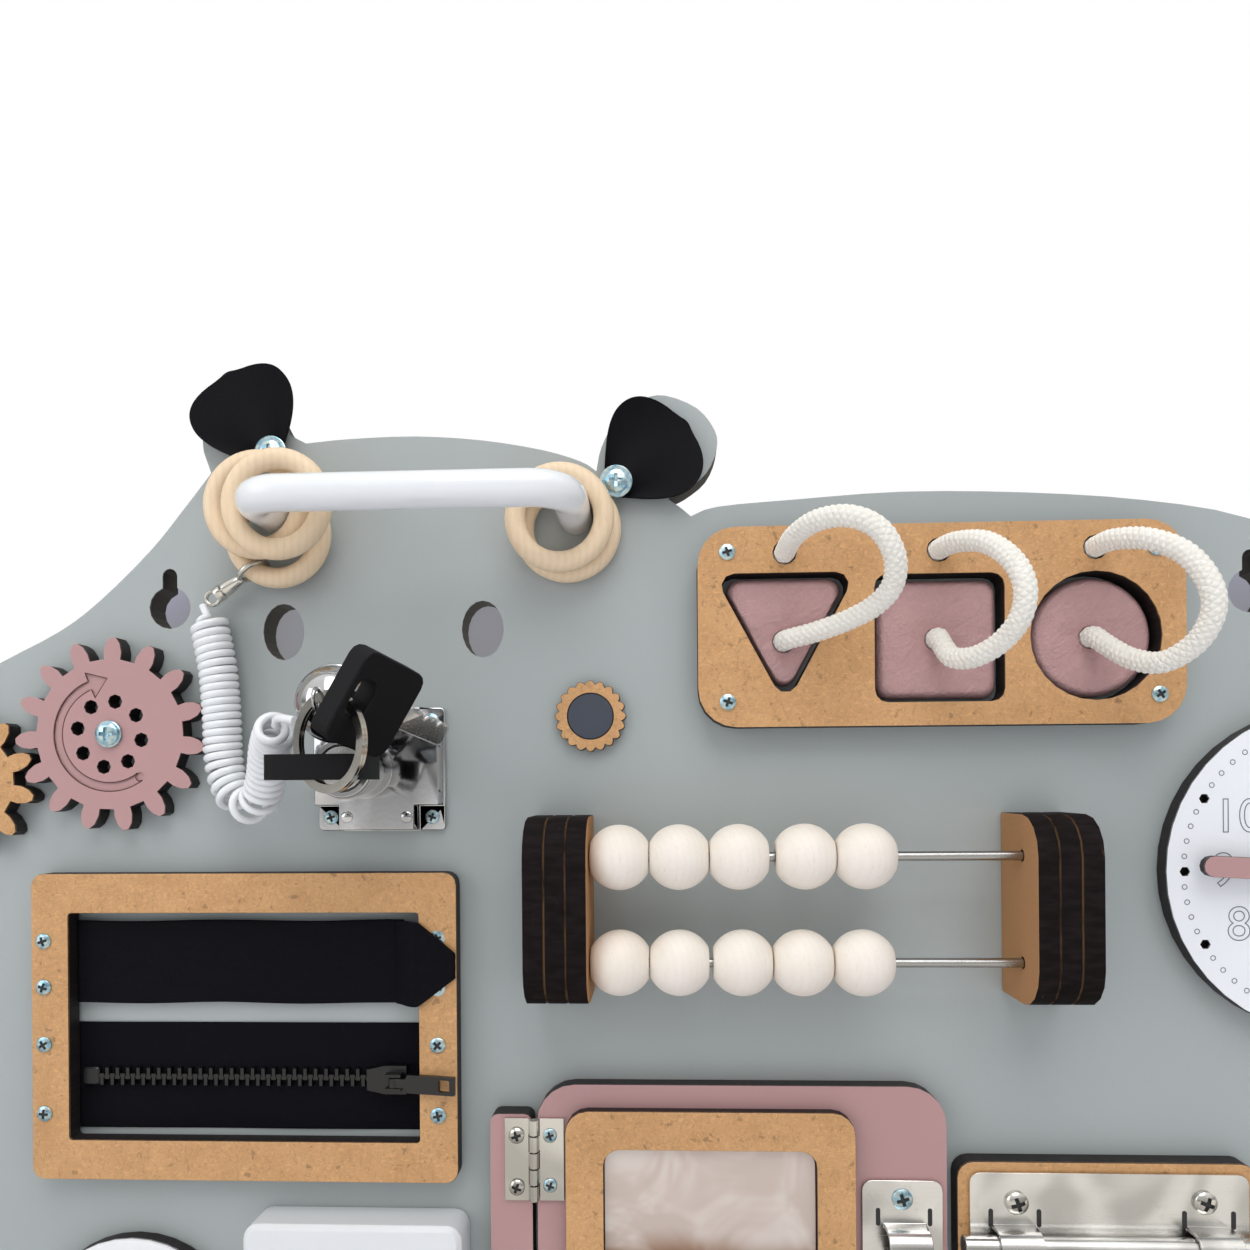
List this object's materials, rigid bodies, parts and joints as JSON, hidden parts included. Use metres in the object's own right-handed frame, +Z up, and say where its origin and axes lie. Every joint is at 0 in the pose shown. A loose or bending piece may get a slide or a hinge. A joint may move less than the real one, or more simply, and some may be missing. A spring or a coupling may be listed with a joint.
{
  "type": "wall activity board",
  "caption": "Animal-shaped wall board for small children with gears, a lock, a zip, ropes with shapes, sliding beads, a clock, a door with a bolt and a switch.",
  "frame": {"origin": "on the board's back face, midway between the two keyhole hangers", "axes": "+X to the right as seen from the front, +Y into the wall, +Z up; the front faces -Y"},
  "size_m": [0.5673, 0.0747, 0.3736],
  "materials": {
    "board_grey": "matt painted board, cut edges darker",
    "pink_board": "matt pink painted board with dark laser-cut edges",
    "fibre_board": "bare fibreboard, tan with fine fibres and dark laser-cut edges",
    "charred_board": "laser-cut edge, dark brown to black, with layer seams",
    "beech": "sanded pale beech",
    "bead_wood": "pale turned wood, matt",
    "white_plastic": "matt white",
    "handle_white": "glossy white",
    "cord_white": "smooth white plastic cord",
    "black_plastic": "black zip plastic",
    "black_fabric": "black woven tape and webbing",
    "ear_leather": "thin black leather, soft",
    "insert_leather": "pink grained leather over board",
    "cotton": "cream braided cotton",
    "nickel": "bright nickel",
    "steel": "brushed steel",
    "key_head": "black moulded key head",
    "mirror": "plain mirror"
  },
  "bodies": {
    "board": {"board_panel": "board_grey", "carry_handle": "handle_white", "ear_leaf_left": "ear_leather", "ear_leaf_right": "ear_leather", "snap_hook": "nickel", "curly_cord": "cord_white", "lock_case": "nickel", "scalloped_holder": "fibre_board", "shape_plate": "board_grey", "counter_block_left": "charred_board", "counter_block_right": "charred_board", "zip_frame": "fibre_board", "zip_tape": "black_fabric", "clock_face": "white_plastic", "door_strip": "pink_board", "hinge_leaf_fixed": "nickel", "latch_block": "charred_board", "latch_plate": "steel", "switch_box": "white_plastic", "round_disc": "white_plastic"},
    "key_turn": {"lock_key": "key_head", "split_ring": "nickel"},
    "bell": {"jingle_bell": "nickel"},
    "spare": {"spare_key": "key_head"},
    "bolt": {"lock_bolt": "steel"},
    "large_gear": {"gear_large": "pink_board"},
    "small_gear": {"gear_small": "fibre_board"},
    "ring_front_left_body": {"ring_front_left": "beech"},
    "ring_middle_left_body": {"ring_middle_left": "beech"},
    "ring_front_right_body": {"ring_front_right": "beech"},
    "ring_back_right_body": {"ring_back_right": "beech"},
    "ring_hooked_body": {"ring_hooked": "beech"},
    "triangle": {"insert_triangle": "insert_leather", "rope_triangle": "cotton"},
    "square": {"insert_square": "insert_leather", "rope_square": "cotton"},
    "circle": {"insert_circle": "insert_leather", "rope_circle": "cotton"},
    "bead_1_1_body": {"bead_1_1": "bead_wood"},
    "bead_1_2_body": {"bead_1_2": "bead_wood"},
    "bead_1_3_body": {"bead_1_3": "bead_wood"},
    "bead_1_4_body": {"bead_1_4": "bead_wood"},
    "bead_1_5_body": {"bead_1_5": "bead_wood"},
    "bead_2_1_body": {"bead_2_1": "bead_wood"},
    "bead_2_2_body": {"bead_2_2": "bead_wood"},
    "bead_2_3_body": {"bead_2_3": "bead_wood"},
    "bead_2_4_body": {"bead_2_4": "bead_wood"},
    "bead_2_5_body": {"bead_2_5": "bead_wood"},
    "slider": {"zip_slider": "black_plastic"},
    "pull": {"zip_pull": "black_plastic"},
    "strap_body": {"strap": "black_fabric"},
    "hour": {"hour_hand": "pink_board"},
    "minute": {"minute_hand": "pink_board"},
    "door": {"door_panel": "pink_board", "window_frame": "fibre_board", "window_mirror": "mirror", "hinge_leaf_moving": "nickel", "keeper": "steel"},
    "rod": {"latch_rod": "steel"},
    "rocker": {"switch_rocker": "white_plastic"}
  },
  "joints": [
    {"name": "gear_large_turn", "type": "hinge", "parent": "board", "child": "large_gear", "pos_m": [-0.1917, -0.0133, -0.04211], "axis": [0, 1, 0], "continuous": true},
    {"name": "gear_small_turn", "type": "hinge", "parent": "board", "child": "small_gear", "pos_m": [-0.24073, -0.0133, -0.05739], "axis": [0, 1, 0], "continuous": true},
    {"name": "lock_turn", "type": "hinge", "parent": "board", "child": "key_turn", "pos_m": [-0.10718, -0.04, -0.0542], "axis": [0, 1, 0], "range_deg": [0, 90]},
    {"name": "lock_bolt_slide", "type": "slide", "parent": "board", "child": "bolt", "axis": [1, 0, 0], "range_m": [0, 0.008]},
    {"name": "bell_swing", "type": "hinge", "parent": "key_turn", "child": "bell", "pos_m": [-0.10562, -0.06181, -0.03568], "axis": [-0.8001, 0.462, -0.3827], "range_deg": [-25, 5]},
    {"name": "spare_key_swing", "type": "hinge", "parent": "key_turn", "child": "spare", "pos_m": [-0.09476, -0.06808, -0.03738], "axis": [-0.6916, 0.3993, 0.6018], "range_deg": [-25, 0]},
    {"name": "ring_front_left_swing", "type": "hinge", "parent": "board", "child": "ring_front_left_body", "pos_m": [-0.13499, -0.0295, 0.02701], "axis": [0, 1, 0], "range_deg": [-60, 60]},
    {"name": "ring_middle_left_swing", "type": "hinge", "parent": "board", "child": "ring_middle_left_body", "pos_m": [-0.13499, -0.0226, 0.02701], "axis": [0, 1, 0], "range_deg": [0, 60]},
    {"name": "ring_front_right_swing", "type": "hinge", "parent": "board", "child": "ring_front_right_body", "pos_m": [-0.03899, -0.0205, 0.02701], "axis": [0, 1, 0], "range_deg": [-60, 60]},
    {"name": "ring_back_right_swing", "type": "hinge", "parent": "board", "child": "ring_back_right_body", "pos_m": [-0.03899, -0.0136, 0.02701], "axis": [0, 1, 0], "range_deg": [-40, 60]},
    {"name": "ring_hooked_spin", "type": "hinge", "parent": "board", "child": "ring_hooked_body", "pos_m": [-0.13543, -0.0157, 0.02203], "axis": [0, 1, 0], "continuous": true},
    {"name": "triangle_lift", "type": "slide", "parent": "board", "child": "triangle", "axis": [0, -1, 0], "range_m": [0, 0.012]},
    {"name": "square_lift", "type": "slide", "parent": "board", "child": "square", "axis": [0, -1, 0], "range_m": [0, 0.012]},
    {"name": "circle_lift", "type": "slide", "parent": "board", "child": "circle", "axis": [0, -1, 0], "range_m": [0, 0.012]},
    {"name": "bead_1_1_slide", "type": "slide", "parent": "board", "child": "bead_1_1_body", "axis": [1, 0, 0], "range_m": [0, 0.0368]},
    {"name": "bead_1_2_slide", "type": "slide", "parent": "board", "child": "bead_1_2_body", "axis": [1, 0, 0], "range_m": [0, 0.0368]},
    {"name": "bead_1_3_slide", "type": "slide", "parent": "board", "child": "bead_1_3_body", "axis": [1, 0, 0], "range_m": [0, 0.0368]},
    {"name": "bead_1_4_slide", "type": "slide", "parent": "board", "child": "bead_1_4_body", "axis": [1, 0, 0], "range_m": [0, 0.0368]},
    {"name": "bead_1_5_slide", "type": "slide", "parent": "board", "child": "bead_1_5_body", "axis": [1, 0, 0], "range_m": [0, 0.0368]},
    {"name": "bead_2_1_slide", "type": "slide", "parent": "board", "child": "bead_2_1_body", "axis": [1, 0, 0], "range_m": [0, 0.0378]},
    {"name": "bead_2_2_slide", "type": "slide", "parent": "board", "child": "bead_2_2_body", "axis": [1, 0, 0], "range_m": [0, 0.0378]},
    {"name": "bead_2_3_slide", "type": "slide", "parent": "board", "child": "bead_2_3_body", "axis": [1, 0, 0], "range_m": [0, 0.0378]},
    {"name": "bead_2_4_slide", "type": "slide", "parent": "board", "child": "bead_2_4_body", "axis": [1, 0, 0], "range_m": [0, 0.0378]},
    {"name": "bead_2_5_slide", "type": "slide", "parent": "board", "child": "bead_2_5_body", "axis": [1, 0, 0], "range_m": [0, 0.0378]},
    {"name": "zip_slide", "type": "slide", "parent": "board", "child": "slider", "axis": [-1, 0, 0], "range_m": [0, 0.088]},
    {"name": "zip_pull_flip", "type": "hinge", "parent": "slider", "child": "pull", "pos_m": [-0.09862, -0.0172, -0.1549], "axis": [0, 0, -1], "range_deg": [0, 150]},
    {"name": "strap_peel", "type": "hinge", "parent": "board", "child": "strap_body", "pos_m": [-0.20518, -0.0133, -0.1373], "axis": [0, 0, -1], "range_deg": [0, 85]},
    {"name": "hour_hand_turn", "type": "hinge", "parent": "board", "child": "hour", "pos_m": [0.1955, -0.018, -0.0882], "axis": [0, 1, 0], "continuous": true},
    {"name": "minute_hand_turn", "type": "hinge", "parent": "board", "child": "minute", "pos_m": [0.1955, -0.0213, -0.0882], "axis": [0, 1, 0], "continuous": true},
    {"name": "door_hinge", "type": "hinge", "parent": "board", "child": "door", "pos_m": [-0.05305, -0.0196, -0.20657], "axis": [0, 0, -1], "range_deg": [0, 110]},
    {"name": "latch_slide", "type": "slide", "parent": "board", "child": "rod", "axis": [-1, 0, 0], "range_m": [0, 0.022]},
    {"name": "switch_tip", "type": "hinge", "parent": "board", "child": "rocker", "pos_m": [-0.11055, -0.0198, -0.23305], "axis": [-1, 0, 0], "range_deg": [0, 8]}
  ],
  "couplings": [
    {"joint": "gear_small_turn", "follows": "gear_large_turn", "ratio": -1.3636},
    {"joint": "lock_bolt_slide", "follows": "lock_turn", "m_per_rad": 0.0050925},
    {"joint": "bead_1_2_slide", "follows": "bead_1_1_slide", "ratio": 1},
    {"joint": "bead_1_3_slide", "follows": "bead_1_1_slide", "ratio": 1},
    {"joint": "bead_1_4_slide", "follows": "bead_1_1_slide", "ratio": 1},
    {"joint": "bead_1_5_slide", "follows": "bead_1_1_slide", "ratio": 1},
    {"joint": "bead_2_2_slide", "follows": "bead_2_1_slide", "ratio": 1},
    {"joint": "bead_2_3_slide", "follows": "bead_2_1_slide", "ratio": 1},
    {"joint": "bead_2_4_slide", "follows": "bead_2_1_slide", "ratio": 1},
    {"joint": "bead_2_5_slide", "follows": "bead_2_1_slide", "ratio": 1}
  ]
}
